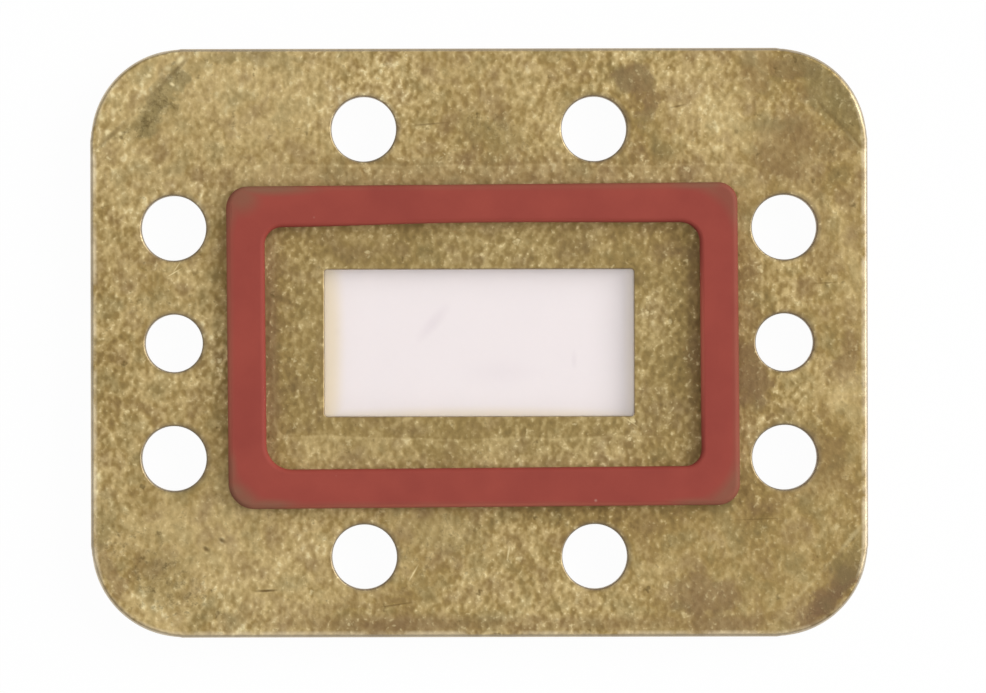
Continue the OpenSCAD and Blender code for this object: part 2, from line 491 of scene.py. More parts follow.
# Places worn so smooth that the grain hardly shows
CALM_PATCHES = (
    (19.5, -14.5, 8.0, 6.0, 15, 0.8),
    (25.6, 0.0, 3.6, 14.0, 0, 0.7),
    (21.6, 10.5, 4.0, 3.0, 0, 0.4),
    (0.0, 0.0, 17.0, 10.0, 0, 0.4),
    (-17.5, 15.0, 8.0, 5.5, 0, 0.35),
    (14.0, -16.0, 12.0, 4.5, 0, 0.25),
)
# Single scratches and chips of the front face, some with bright metal and some with dirt in them
LIGHT_SCRATCHES = (
    (-21.2, 4.9, 0.45, 0.04, 30, 0.7),
    (-21.0, 5.3, 0.35, 0.04, 55, 0.5),
    (25.9, -13.5, 1.2, 0.14, 50, 0.28),
    (22.6, -17.2, 3.4, 0.1, 48, 0.1),
    (10.5, -5.5, 0.5, 0.04, -35, 0.4),
    (26.0, 14.0, 0.8, 0.1, -52, 0.15),
    (-20.7, 19.7, 0.3, 0.18, 50, 0.8),
    (-22.9, 18.6, 0.15, 0.12, 0, 0.7),
    (-21.6, 19.1, 0.2, 0.15, 0, 0.5),
    (-21.3, 18.0, 0.17, 0.09, -30, 0.9),
    (-25.8, 14.7, 0.15, 0.15, 0, 0.9),
    (-24.9, 14.6, 0.15, 0.12, 0, 0.7),
    (-25.4, 16.1, 0.15, 0.25, 0, 0.5),
    (-4.6, -16.0, 0.5, 0.05, 60, 0.6),
    (2.0, -14.6, 0.4, 0.06, 80, 0.6),
)
DARK_SCRATCHES = (
    (-14.8, -17.2, 0.6, 0.08, 3, 0.9),
    (-5.8, -18.2, 0.9, 0.05, 8, 0.5),
    (24.0, 4.1, 0.7, 0.04, 2, 0.4),
    (19.5, -12.3, 1.3, 0.04, 2, 0.35),
    (-19.0, -14.3, 0.22, 0.14, -30, 0.8),
    (-17.9, -13.7, 0.24, 0.12, -35, 0.8),
    (24.6, 15.6, 2.2, 0.14, -47, 0.4),
    (-3.4, 15.2, 0.9, 0.06, 5, 0.5),
    (13.8, 16.4, 0.4, 0.06, 12, 0.6),
    (-21.2, 18.8, 1.6, 0.13, 45, 0.4),
    (-25.4, 14.6, 1.4, 0.13, 44, 0.4),
)
# Directions of the rubbing strokes, in degrees from the plate's long side, and their shares
STROKE_LAYS = ((88, 0.3), (48, 0.24), (131, 0.2))
GRAIN_SHARE = 0.26
# How many times as long as wide the strokes are
STROKE_STRETCH = 2.0
# The plates are lighter towards the upper left: change of tone for each metre
TONE_SLOPE = (-1.2, 0.6, 0)


def old_seat(add, place):
    """Nodes for the print that the gasket left where it was first pressed: a lighter band, and
    the fine line along its border."""
    place = wandering(add, place, size=6 * MM, reach=0.8 * MM, detail=2.0, roughness=0.5)
    outer = box_distance(
        add, place, centre=(1.6 * MM, 1.25 * MM), half_x=18.2 * MM, half_y=11.1 * MM, radius=1.6 * MM
    )
    inner = box_distance(
        add, place, centre=(1.0 * MM, 1.25 * MM), half_x=15.2 * MM, half_y=7.9 * MM, radius=1.2 * MM
    )
    within = add("MapRange", {"Value": outer, "From Min": 0.1 * MM, "From Max": -0.1 * MM})
    beyond = add("MapRange", {"Value": inner, "From Min": -0.1 * MM, "From Max": 0.1 * MM})
    band = add("Math", {0: within, 1: beyond}, operation="MULTIPLY")
    lines = []
    for border in (outer, inner):
        near = add("Math", {0: border}, operation="ABSOLUTE")
        lines.append(add("MapRange", {"Value": near, "From Min": 0.14 * MM, "From Max": 0.02 * MM}))
    line = add("Math", {0: lines[0], 1: lines[1]}, operation="MAXIMUM")
    return band, line


def brass_grain(add, place, wander, width):
    """Noise of the brass: slow clouds, patches, fine grain, and the strokes of hand rubbing,
    which are short and cross each other, most of them across the plate."""
    slow = add("TexNoise", {"Vector": place, "Scale": 1 / (7 * MM), "Detail": 3.0})
    patch = add("TexNoise", {"Vector": wander, "Scale": 1 / (2.4 * MM), "Detail": 3.0, "Roughness": 0.55})
    fine = add("TexNoise", {"Vector": place, "Scale": 1 / (0.26 * MM), "Detail": 1.0})
    strokes = add("TexNoise", {"Vector": place, "Scale": 1 / (0.5 * MM), "Detail": 1.0, "Roughness": 0.6})
    strokes = add("Math", {0: strokes, 1: GRAIN_SHARE}, operation="MULTIPLY")
    for turn, weight in STROKE_LAYS:
        lay = {
            "Vector": place,
            "Rotation": (0, 0, math.radians(turn)),
            "Scale": (STROKE_STRETCH * width, width, width),
        }
        lay = add("Mapping", lay, vector_type="TEXTURE")
        stroke = add("TexNoise", {"Vector": lay, "Scale": 1.0, "Detail": 0.6})
        strokes = weighted(add, strokes, [(stroke, weight)])
    return Grain(slow, patch, fine, strokes)


def brass_stains(add, place, wander, slow, front):
    """Masks of the stains and patches, and how bare the metal lies between them: stains and
    worn places cover the grain, so its contrast drops there."""
    brown = mark_mask(add, wander, FRONT_BROWN + BROWN if front else BROWN, softness=0.6)
    olive = mark_mask(add, wander, FRONT_OLIVE + OLIVE if front else OLIVE, softness=0.7)
    pale = mark_mask(add, wander, FRONT_PALE + PALE if front else PALE, softness=1.6)
    # Grime, together with painted shade where the gasket's shadow falls
    grime = mark_mask(add, place, GRIME_AND_SHADE, softness=1.5)
    calm = mark_mask(add, place, CALM_PATCHES, softness=1.4)
    cover = add("Math", {0: brown, 1: olive}, operation="MAXIMUM")
    cover = add("Math", {0: cover, 1: calm}, operation="MAXIMUM")
    bare = add(
        "MapRange", {"Value": cover, "From Min": 0.0, "From Max": 1.0, "To Min": 1.0, "To Max": 0.4}
    )
    uneven = add(
        "MapRange", {"Value": slow, "From Min": 0.3, "From Max": 0.7, "To Min": 0.55, "To Max": 1.35}
    )
    bare = add("Math", {0: bare, 1: uneven}, operation="MULTIPLY")
    return Stains(brown, olive, pale, grime, bare)


def brass_tone(add, place, grain, stains, front):
    """How light the metal is: 0.45 is plain dull brass, 0 its darkest oxide and 0.8 rubbed metal."""
    across = add("VectorMath", {0: place, 1: TONE_SLOPE}, operation="DOT_PRODUCT")
    rubbed = weighted(add, grain.strokes, [(grain.fine, 0.12)])
    contrast = {"Value": rubbed, "From Min": 0.36, "From Max": 0.76, "To Min": -0.22, "To Max": 0.22}
    rubbed = add("MapRange", contrast, interpolation_type="SMOOTHERSTEP")
    parts = [
        (grain.slow, 0.5),
        (grain.patch, 0.45),
        (rubbed, stains.bare),
        (stains.pale, 0.26),
        (stains.grime, -0.22),
    ]
    if front:
        band, line = old_seat(add, place)
        parts += [(band, 0.1), (line, 0.1)]
    tone = weighted(add, (across, "Value"), parts)
    return add("Math", {0: tone, 1: 0.08}, operation="ADD")


def brass_oxides(add, place, patch, stains):
    """Masks of brown and olive oxide: the stains, with ragged insides, and thin oxide that turns
    the tint a little from place to place."""
    tint = add("TexNoise", {"Vector": place, "Scale": 1 / (1.8 * MM), "Detail": 2.0})
    warm = add("MapRange", {"Value": tint, "From Min": 0.5, "From Max": 0.75, "To Max": 0.5})
    cool = add("MapRange", {"Value": tint, "From Min": 0.5, "From Max": 0.25, "To Max": 0.45})
    ragged = add(
        "MapRange", {"Value": patch, "From Min": 0.3, "From Max": 0.65, "To Min": 1.0, "To Max": 0.6}
    )
    masks = []
    for stain, thin in ((stains.brown, warm), (stains.olive, cool)):
        stain = add("Math", {0: stain, 1: ragged}, operation="MULTIPLY")
        masks.append(add("Math", {0: stain, 1: thin}, operation="MAXIMUM"))
    return masks


def hole_shade_mask(add, place):
    """Mask of the painted shade round the holes, drawn in one quarter of the plate and folded to all."""
    quarter = add("VectorMath", {0: place, 1: SHADE_SHIFT}, operation="SUBTRACT")
    quarter = add("VectorMath", {0: quarter}, operation="ABSOLUTE")
    return mark_mask(add, quarter, HOLE_SHADE_RINGS, softness=0.14)


def brass_specks(add, place, wander, grain, bare):
    """Masks of bright flecks where a stroke broke through the oxide, of dark specks, and of the
    small round pits among them."""
    through = add("Math", {0: grain.strokes, 1: grain.fine}, operation="ADD")
    fleck = add("MapRange", {"Value": through, "From Min": 1.15, "From Max": 1.35, "To Max": 0.5})
    fleck = add("Math", {0: fleck, 1: bare}, operation="MULTIPLY")
    cells = add("TexVoronoi", {"Vector": place, "Scale": 1 / (1.3 * MM)})
    ragged_cell = weighted(add, cells, [(grain.fine, 0.7)])
    dot = add("MapRange", {"Value": ragged_cell, "From Min": 0.53, "From Max": 0.38})
    chance = add("SeparateXYZ", {0: (cells, "Color")})
    is_pit = add("MapRange", {"Value": chance, "From Min": 0.65, "From Max": 0.95, "To Max": 0.6})
    is_spark = add("MapRange", {"Value": chance, "From Min": 0.3, "From Max": 0.1, "To Max": 0.55})
    pit = add("Math", {0: dot, 1: is_pit}, operation="MULTIPLY")
    grit = add("TexNoise", {"Vector": place, "Scale": 1 / (0.5 * MM), "Detail": 3.0, "Roughness": 0.7})
    bands = mark_mask(add, wander, SPECKLED_BANDS, softness=1.4)
    crowd = weighted(add, bands, [(grain.patch, 0.25)])
    grit = weighted(add, grit, [(crowd, 0.24)])
    speck = add("MapRange", {"Value": grit, "From Min": 0.65, "From Max": 0.9, "To Max": 0.8})
    speck = add("Math", {0: speck, 1: pit}, operation="MAXIMUM")
    spark = add("Math", {0: dot, 1: is_spark}, operation="MULTIPLY")
    spark = add("Math", {0: spark, 1: bare}, operation="MULTIPLY")
    fleck = add("Math", {0: fleck, 1: spark}, operation="MAXIMUM")
    return fleck, speck, pit


def brass_rims(add, place, patch, sizes, front):
    """Masks of bare metal in a broken line just inside the outline, most of it at the two ends,
    and of the rounded rims, which are rubbed to a neutral grey down to where the wall begins."""
    outline = box_distance(add, place, (0, 0), plate_high.x, plate_high.y, sizes.corner_radius)
    line = add("MapRange", {"Value": outline, "From Min": -0.5 * MM, "From Max": -0.3 * MM})
    worn = add("MapRange", {"Value": patch, "From Min": 0.35, "From Max": 0.6, "To Max": 0.7})
    line = add("Math", {0: line, 1: worn}, operation="MULTIPLY")
    parts = add("SeparateXYZ", {0: place})
    low_side = add(
        "MapRange", {"Value": (parts, "Y"), "From Min": 19 * MM, "From Max": 16 * MM, "To Max": 0.65}
    )
    end_side = add("Math", {0: (parts, "X")}, operation="ABSOLUTE")
    end_side = add("MapRange", {"Value": end_side, "From Min": 25 * MM, "From Max": 26.4 * MM})
    side = add("Math", {0: low_side, 1: end_side}, operation="MAXIMUM")
    line = add("Math", {0: line, 1: side}, operation="MULTIPLY")

    face_z, sign = (plate_high.z, -1.0) if front else (rear_low.z, 1.0)
    depth = add("Math", {0: (parts, "Z"), 1: sign, 2: -sign * face_z}, operation="MULTIPLY_ADD")
    turned = add("MapRange", {"Value": depth, "From Min": 0.005 * MM, "From Max": 0.04 * MM})
    wall = add("MapRange", {"Value": outline, "From Min": -sizes.edge_round, "From Max": -0.1 * MM})
    turned = add("Math", {0: turned, 1: wall}, operation="MAXIMUM")
    shallow = add("MapRange", {"Value": depth, "From Min": 0.4 * MM, "From Max": 0.2 * MM, "To Max": 0.75})
    turned = add("Math", {0: turned, 1: shallow}, operation="MULTIPLY")
    return line, turned


def brass_material(name, finish, sizes, front):
    """Rolled sheet brass, punched and left bare: a dull oxide skin rubbed in short strokes, with small
    bright flecks and dark pits, soft stains, worn rims and a few scratches, and painted shade by the gasket
    and round the holes."""
    material, add, shader, place = new_material(name)
    wander = wandering(add, place, size=2.6 * MM, reach=4.5 * MM, detail=4.0, roughness=0.6)
    grain = brass_grain(add, place, wander, finish.grain)
    stains = brass_stains(add, place, wander, grain.slow, front)
    tone = brass_tone(add, place, grain, stains, front)
    stops = ((0.0, finish.dark), (1.0, finish.fleck), (0.45, finish.middle), (0.8, finish.light))
    skin = (add("ValToRGB", {0: tone}, stops), "Color")
    brown, olive = brass_oxides(add, place, grain.patch, stains)
    skin = painted(add, skin, [(brown, finish.brown), (olive, finish.olive)])
    if front:
        # Brown dirt at the ring's foot, with painted shade at its inner right foot
        skin = painted(add, skin, [(mark_mask(add, place, FOOT_DIRT_AND_SHADE, softness=1.5), finish.brown)])
    # Painted shade round the holes, most of it on the side away from the light
    skin = painted(add, skin, [(hole_shade_mask(add, place), finish.hole_shade)])
    fleck, speck, pit = brass_specks(add, place, wander, grain, stains.bare)
    skin = painted(add, skin, [(fleck, finish.fleck), (speck, finish.oxide)])
    height = weighted(add, grain.strokes, [(grain.fine, 0.35), (grain.patch, 0.5), (pit, -0.12)])
    line, turned = brass_rims(add, place, grain.patch, sizes, front)
    skin = painted(add, skin, [(line, finish.rim), (turned, finish.turned)])
    if front:
        light_line = mark_mask(add, place, LIGHT_SCRATCHES, softness=1.6)
        dark_line = mark_mask(add, place, DARK_SCRATCHES, softness=1.6)
        skin = painted(add, skin, [(light_line, finish.fleck), (dark_line, finish.dark)])
        height = weighted(add, height, [(dark_line, -0.4)])
    ends = (finish.roughness + 0.08, finish.roughness - 0.06)
    link_surface(add, shader, skin, tone, ends, height, strength=0.4, depth=0.1 * MM)
    feed(shader, {"Metallic": 1.0})
    return material


# Brass dirt rubbed into the corners of the rubber ring
CORNER_DIRT = (
    (-16.8, -10.7, 2.3, 0.8, -40, 0.7),
    (-15.2, -11.3, 2.4, 0.4, 0, 0.6),
    (-17.3, -9.4, 0.4, 1.8, 0, 0.5),
    (-16.7, 10.1, 1.2, 1.0, 0, 0.5),
    (-14.8, 10.8, 3.2, 0.45, 0, 0.6),
    (17.2, 10.5, 1.1, 0.8, -30, 0.45),
    (15.8, 11.0, 2.6, 0.35, 0, 0.6),
    (17.3, -10.9, 1.5, 0.8, 25, 0.45),
    (16.0, -11.2, 2.6, 0.35, 0, 0.5),
)
# Painted light on the ring's edges that turn away from the lamps: outer left and lower, inner right and
# upper
SHADED_EDGE_LIGHT = (
    (-17.5, -0.2, 0.22, 11.0, 0.4, 0.9),
    (0.3, -11.4, 18.2, 0.2, 0.4, 0.6),
    (15.38, -0.2, 0.2, 5.4, 0.4, 0.8),
    (0.2, 8.3, 9.4, 0.2, 0.4, 0.35),
)


def rubber_material(finish):
    """Compression-moulded silicone rubber: matt, even red, with dust in its skin, brass dirt rubbed into
    the corners of the ring, and painted light on the edges that turn away from the lamps."""
    material, add, shader, place = new_material("moulded_silicone")
    cloud = add("TexNoise", {"Vector": place, "Scale": 1 / (3.0 * MM), "Detail": 4.0})
    skin_grain = add("TexNoise", {"Vector": place, "Scale": 1 / (0.22 * MM), "Detail": 2.0})
    mottling = add("MapRange", {"Value": cloud, "From Min": 0.3, "From Max": 0.7})
    speck = add("TexVoronoi", {"Vector": place, "Scale": 1 / (2.3 * MM)})
    dust = add("MapRange", {"Value": speck, "From Min": 0.06, "From Max": 0.02, "To Max": 0.5})
    centre = (GASKET_CENTRE.x, GASKET_CENTRE.y)
    half_x, half_y = gasket_high.x - centre[0], gasket_high.y - centre[1]
    edge = box_distance(add, place, centre, half_x, half_y, finish.soiled_corner)
    soiled = add("MapRange", {"Value": edge, "From Min": -0.6 * MM, "From Max": 0.1 * MM, "To Max": 0.45})
    corners = mark_mask(add, place, CORNER_DIRT, softness=1.4)
    soiled = add("Math", {0: soiled, 1: corners}, operation="MAXIMUM")
    patchy = add("MapRange", {"Value": cloud, "From Min": 0.35, "From Max": 0.6, "To Min": 0.6})
    soiled = add("Math", {0: soiled, 1: patchy}, operation="MULTIPLY")
    # Painted light that lightens the edges in shade
    shaded_edge_light = mark_mask(add, place, SHADED_EDGE_LIGHT, softness=1.2)
    layers = [(mottling, finish.base), (dust, finish.dust), (shaded_edge_light, finish.pale), (soiled, finish.dirt)]
    skin = painted(add, opaque(finish.shade), layers)
    ends = (finish.roughness - 0.06, finish.roughness + 0.08)
    link_surface(add, shader, skin, cloud, ends, skin_grain, strength=0.25, depth=0.02 * MM)
    feed(shader, {"Specular IOR Level": 0.2})
    return material


# Handling marks on the window sheet
SMUDGES = (
    (-3.2, 1.4, 1.3, 0.35, 50, 0.35),
    (6.6, -1.2, 0.15, 0.5, 0, 0.3),
    (-10.0, 0.8, 0.25, 0.2, 0, 0.3),
    (1.5, -2.0, 2.4, 0.7, 0, 0.15),
)
# Painted light on the sheet's rim: warm light bounced off the lit brass walls at the left and bottom, and a
# little on the right where the wall's shadow falls
RIM_BOUNCE_LIGHT = (
    (-11.0, 0.0, 1.3, 9.0, 0, 0.9),
    (0.0, -5.4, 12.0, 0.8, 0, 0.6),
    (11.0, 0.0, 0.8, 9.0, 0, 0.3),
)


def sheet_material(finish):
    """Filled fluoropolymer sheet, skived and matt: pale, slightly translucent, with faint handling smudges
    and warm painted light along its rim, as bounced off the brass walls."""
    material, add, shader, place = new_material("matt_fluoropolymer")
    cloud = add("TexNoise", {"Vector": place, "Scale": 1 / (2.5 * MM), "Detail": 3.0})
    smudges = mark_mask(add, place, SMUDGES, softness=1.6)
    # Painted bounce light along the sheet's rim
    rim_bounce = mark_mask(add, place, RIM_BOUNCE_LIGHT, softness=0.9)
    skin = painted(add, opaque(finish.base), [(smudges, finish.smudge), (rim_bounce, finish.bounce_light)])
    ends = (finish.roughness - 0.05, finish.roughness + 0.1)
    link_surface(add, shader, skin, cloud, ends, cloud, strength=0.2, depth=0.02 * MM)
    feed(shader, {"Transmission Weight": 0.62, "IOR": 1.12})
    return material


def bond_material(finish):
    """Hot-melt bonding film: clear amber with a soft gloss and small bubbles."""
    material, add, shader, place = new_material("amber_bonding_film")
    bubbles = add("TexVoronoi", {"Vector": place, "Scale": 1 / (0.3 * MM)})
    thin = add("MapRange", {"Value": bubbles, "From Min": 0.2, "From Max": 0.7, "To Min": 0.8})
    shaded = {0: 1.0, MIX_UNDER: opaque(finish.bond), MIX_OVER: thin}
    skin = add("Mix", shaded, data_type="RGBA", blend_type="MULTIPLY")
    ends = (0.25, 0.4)
    link_surface(add, shader, (skin, MIX_RESULT), bubbles, ends, bubbles, strength=0.2, depth=0.02 * MM)
    return material


# Share of the paper that glows for the camera
PAPER_GLOW = 0.97


def paper_material():
    """Matt white paper under the object. To the camera it glows white, and a small share of
    plain diffuse paper keeps the object's shadow."""
    material, add, shader, _ = new_material("white_paper")
    feed(shader, {"Base Color": (0.95, 0.95, 0.95, 1), "Roughness": 0.9, "Specular IOR Level": 0.0})
    path = add("LightPath")
    seen = (path, "Is Camera Ray")
    for ray in ("Is Glossy Ray", "Is Transmission Ray"):
        seen = add("Math", {0: seen, 1: (path, ray)}, operation="MAXIMUM")
    glow_share = add("Math", {0: seen, 1: PAPER_GLOW}, operation="MULTIPLY")
    glow = add("Emission", {"Color": (1, 1, 1, 1), "Strength": 1.0})
    mix = add("MixShader", {0: glow_share, 1: shader, 2: glow})
    feed(material.node_tree.nodes["Material Output"], {"Surface": mix})
    return material


def pick(piece, kind, test):
    """Select the vertices, edges or faces of a piece in edit mode that pass a test."""
    bpy.ops.mesh.select_mode(type=kind)
    bpy.ops.mesh.select_all(action="DESELECT")
    mesh = bmesh.from_edit_mesh(piece.data)
    items = {"VERT": mesh.verts, "EDGE": mesh.edges, "FACE": mesh.faces}[kind]
    for item in items:
        item.select_set(test(item))
    mesh.select_flush_mode()
    bmesh.update_edit_mesh(piece.data)


def middle(item):
    """Middle of an edge or face."""
    return sum((v.co for v in item.verts), Vector()) / len(item.verts)


def is_upright(edge):
    """Whether an edge runs along Z."""
    a, b = (v.co for v in edge.verts)
    return (a - b).length > 0 and abs((a - b).normalized().z) > UPRIGHT


def is_rim(edge, height):
    """Whether an edge lies at a height, between a level face and a wall."""
    if any(abs(v.co.z - height) > SAME for v in edge.verts) or len(edge.link_faces) != 2:
        return False
    level = [abs(f.normal.z) > LEVEL for f in edge.link_faces]
    return level[0] != level[1]


def block(name, low, high, radii, segments):
    """Block between two corners whose upright edges are rounded. Radii are for the corners at
    lower left, lower right, upper left and upper right."""
    bpy.ops.object.select_all(action="DESELECT")
    bpy.ops.mesh.primitive_cube_add(size=1, location=(low + high) / 2, scale=high - low)
    piece = bpy.context.active_object
    piece.name = name
    bpy.ops.object.transform_apply(location=True, rotation=True, scale=True)
    bpy.ops.object.mode_set(mode="EDIT")
    corners = [Vector((x, y)) for y in (low.y, high.y) for x in (low.x, high.x)]
    for corner, radius in zip(corners, radii):
        pick(piece, "EDGE", lambda e: is_upright(e) and (middle(e).xy - corner).length < NEAR)
        bpy.ops.mesh.bevel(offset=radius, segments=segments, affect="EDGES")
    bpy.ops.object.mode_set(mode="OBJECT")
    return piece


def cylinder(name, x, y, low_z, high_z, radius):
    """Upright cylinder."""
    bpy.ops.object.select_all(action="DESELECT")
    bpy.ops.mesh.primitive_cylinder_add(
        vertices=HOLE_SIDES, radius=radius, depth=high_z - low_z, location=(x, y, (low_z + high_z) / 2)
    )
    piece = bpy.context.active_object
    piece.name = name
    bpy.ops.object.transform_apply(location=True, rotation=True, scale=True)
    return piece


def activate(piece):
    """Select one piece and make it the active one."""
    bpy.ops.object.select_all(action="DESELECT")
    piece.select_set(True)
    bpy.context.view_layer.objects.active = piece


def cut(piece, tools):
    """Cut tools out of a piece and remove them."""
    for tool in tools:
        modifier = piece.modifiers.new("cut", "BOOLEAN")
        modifier.operation = "DIFFERENCE"
        modifier.solver = "EXACT"
        modifier.object = tool
        activate(piece)
        bpy.ops.object.modifier_apply(modifier=modifier.name)
        bpy.data.objects.remove(tool)


def join(pieces):
    """Join several objects into the first."""
    activate(pieces[0])
    for piece in pieces:
        piece.select_set(True)
    bpy.ops.object.join()
    return pieces[0]


def hole_cutters(sizes, low_z, high_z):
    """One object that holds a cylinder for each hole of the flange pattern."""
    side, group, row = sizes.column_pitch / 2, sizes.group_pitch / 2, sizes.row_pitch / 2
    bolt, locating = sizes.bolt_diameter / 2, sizes.locating_diameter / 2
    places = [(sx * side, sy * group, bolt) for sx in (-1, 1) for sy in (-1, 1)]
    places += [(sx * group, sy * row, bolt) for sx in (-1, 1) for sy in (-1, 1)]
    places += [(sx * side, 0, locating) for sx in (-1, 1)]
    return join([cylinder("hole", x, y, low_z, high_z, radius) for x, y, radius in places])


def aperture_cutter(sizes, low_z, high_z):
    """Block of the aperture's outline."""
    half = Vector((sizes.aperture_length / 2, sizes.aperture_width / 2, 0))
    low = Vector((-half.x, -half.y, low_z))
    high = Vector((half.x, half.y, high_z))
    return block("aperture", low, high, [sizes.aperture_radius] * 4, segments=6)


def pocket_cutter(sizes, high_z):
    """Block of the pocket that the sheet lies in."""
    gap = Vector((sizes.pocket_gap, sizes.pocket_gap, 0))
    low = Vector((sheet_low.x, sheet_low.y, pocket_floor)) - gap
    high = Vector((sheet_high.x, sheet_high.y, high_z)) + gap
    return block("pocket", low, high, [sizes.pocket_radius] * 4, segments=12)


def lift_corners(piece, sizes):
    """Bend each corner up about the line that joins the ends of its arc, in small steps."""
    reach = (plate_high.x - sizes.corner_radius + plate_high.y) / math.sqrt(2)
    for side_x in (-1, 1):
        for side_y in (-1, 1):
            outward = Vector((side_x, side_y, 0)).normalized()
            for step in LIFT_STEPS:
                far = reach + step
                pick(piece, "FACE", lambda f: True)
                bpy.ops.mesh.bisect(plane_co=outward * far, plane_no=outward)
                pick(piece, "VERT", lambda v: v.co.dot(outward) > far + SAME)
                bend_up(outward, far, sizes.corner_lift / len(LIFT_STEPS))


def bend_up(outward, far, turn):
    """Turn the selection about a line on the rear face, so that what lies outward rises."""
    up = Vector((0, 0, 1))
    hinge = up.cross(outward)
    bpy.ops.transform.rotate(
        value=-turn,
        orient_axis="Y",
        orient_type="GLOBAL",
        orient_matrix=(outward, hinge, up),
        orient_matrix_type="GLOBAL",
        constraint_axis=(False, True, False),
        center_override=outward * far + up * rear_low.z,
    )


def smooth_rims(piece):
    """Smooth the rounded rims and keep the faces flat."""
    activate(piece)
    bpy.ops.object.shade_smooth_by_angle(angle=SMOOTH_ANGLE, keep_sharp_edges=True)
    modifier = piece.modifiers.new("flat faces", "WEIGHTED_NORMAL")
    modifier.weight = FLAT_WEIGHT
    modifier.keep_sharp = True
    bpy.ops.object.modifier_apply(modifier=modifier.name)


def dress(piece, material, slot, *nodes):
    """Give a new piece its material, and let it stand for CAD nodes. The slot is not used."""
    piece.data.materials.clear()
    piece.data.materials.append(material)
    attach(piece, BODY)
    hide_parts(*nodes)


def make_plate(name, node, outer_face, sizes):
    """Plate with its outline, holes and aperture cut, rims rounded and corners bent up. The
    outer face is the one that a flange bears on."""
    low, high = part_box(node)
    piece = block(name, low, high, [sizes.corner_radius] * 4, segments=32)
    low_z, high_z = low.z - OVER, high.z + OVER
    cutters = [hole_cutters(sizes, low_z, high_z), aperture_cutter(sizes, low_z, high_z)]
    if outer_face == "rear":
        cutters.append(pocket_cutter(sizes, high_z))
    cut(piece, cutters)
    outer, seam = (high.z, low.z) if outer_face == "front" else (low.z, high.z)
    activate(piece)
    bpy.ops.object.mode_set(mode="EDIT")
    rims = (
        (outer, is_outline, sizes.edge_round, 6),
        (outer, is_aperture, sizes.aperture_round, 3),
        (outer, is_hole, sizes.hole_round, 4),
        (seam, is_outline, sizes.seam_round, 2),
    )
    for height, belongs, rounding, segments in rims:
        pick(piece, "EDGE", lambda e: is_rim(e, height) and belongs(e, sizes))
        bpy.ops.mesh.bevel(offset=rounding, segments=segments, affect="EDGES")
    lift_corners(piece, sizes)
    bpy.ops.object.mode_set(mode="OBJECT")
    smooth_rims(piece)
    return piece


def is_outline(edge, sizes):
    """Whether an edge lies on the plates' outline."""
    x, y = (abs(c) for c in middle(edge).xy)
    core = Vector((plate_high.x - sizes.corner_radius, plate_high.y - sizes.corner_radius))
    past = Vector((max(x - core.x, 0), max(y - core.y, 0)))
    return abs(past.length - sizes.corner_radius) < NEAR


def is_aperture(edge, sizes):
    """Whether an edge lies on the aperture."""
    x, y = (abs(c) for c in middle(edge).xy)
    return x < sizes.aperture_length / 2 + NEAR and y < sizes.aperture_width / 2 + NEAR


def is_hole(edge, sizes):
    """Whether an edge lies on one of the holes."""
    return not is_outline(edge, sizes) and not is_aperture(edge, sizes)


def add_plate(scene, side):
    """Model the plate of one side, give it its brass and let it stand for its CAD node."""
    sizes = scene.window_plates
    node = side + "_plate"
    piece = make_plate(node + "_dressed", node, side, sizes)
    material = brass_material("rolled_brass_" + side, scene.window_brass, sizes, side == "front")
    dress(piece, material, "brass_plate", node)


class FrontPlateOperator(bpy.types.Operator):
    """Model the front plate: brass with ten holes and the aperture"""

    bl_idname = "window.front_plate"
    bl_label = "Front plate"

    def execute(self, context):
        add_plate(context.scene, "front")
        return {"FINISHED"}


class RearPlateOperator(bpy.types.Operator):
    """Model the rear plate: brass with the same holes and a pocket for the sheet"""

    bl_idname = "window.rear_plate"
    bl_label = "Rear plate"

    def execute(self, context):
        add_plate(context.scene, "rear")
        return {"FINISHED"}


class WindowSheetOperator(bpy.types.Operator):
    """Model the dielectric sheet that closes the aperture"""

    bl_idname = "window.sheet"
    bl_label = "Window sheet"

    def execute(self, context):
        sizes = context.scene.window_plates
        radius = sizes.pocket_radius - sizes.pocket_gap
        piece = block("window_sheet_dressed", sheet_low, sheet_high, [radius] * 4, segments=12)
        activate(piece)
        bpy.ops.object.mode_set(mode="EDIT")
        pick(piece, "EDGE", lambda e: is_rim(e, sheet_low.z) or is_rim(e, sheet_high.z))
        bpy.ops.mesh.bevel(offset=sizes.sheet_round, segments=2, affect="EDGES")
        bpy.ops.object.mode_set(mode="OBJECT")
        smooth_rims(piece)
        dress(piece, sheet_material(context.scene.window_sheet), "window_sheet", "window_sheet")
        return {"FINISHED"}


class BondOperator(bpy.types.Operator):
    """Give the two bonding films their finish"""

    bl_idname = "window.bonds"
    bl_label = "Bonding films"

    def execute(self, context):
        material = bond_material(context.scene.window_sheet)
        for node in ("front_bond", "rear_bond"):
            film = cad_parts[node]
            film.data.materials.clear()
            film.data.materials.append(material)
        return {"FINISHED"}


def slice_across(piece, normal, reach):
    """Cut the faces across at even steps along a direction, up to a reach in mm on both sides."""
    for step in range(-reach, reach + 1, SLICE_MM):
        pick(piece, "FACE", lambda f: True)
        bpy.ops.mesh.bisect(plane_co=normal * step * MM, plane_no=normal)


def sag_end(inside, side, sag):
    """Lower one upper end of the shape that leaves the ring open, so the top bar is wider there."""
    end = max(v.co.x * side for v in bmesh.from_edit_mesh(inside.data).verts)
    pick(inside, "VERT", lambda v: v.co.y > 0 and v.co.x * side > end - SAG_END)
    bpy.ops.transform.translate(
        value=(0, -sag, 0),
        use_proportional_edit=True,
        proportional_edit_falloff="SMOOTH",
        proportional_size=SAG_FADE,
    )


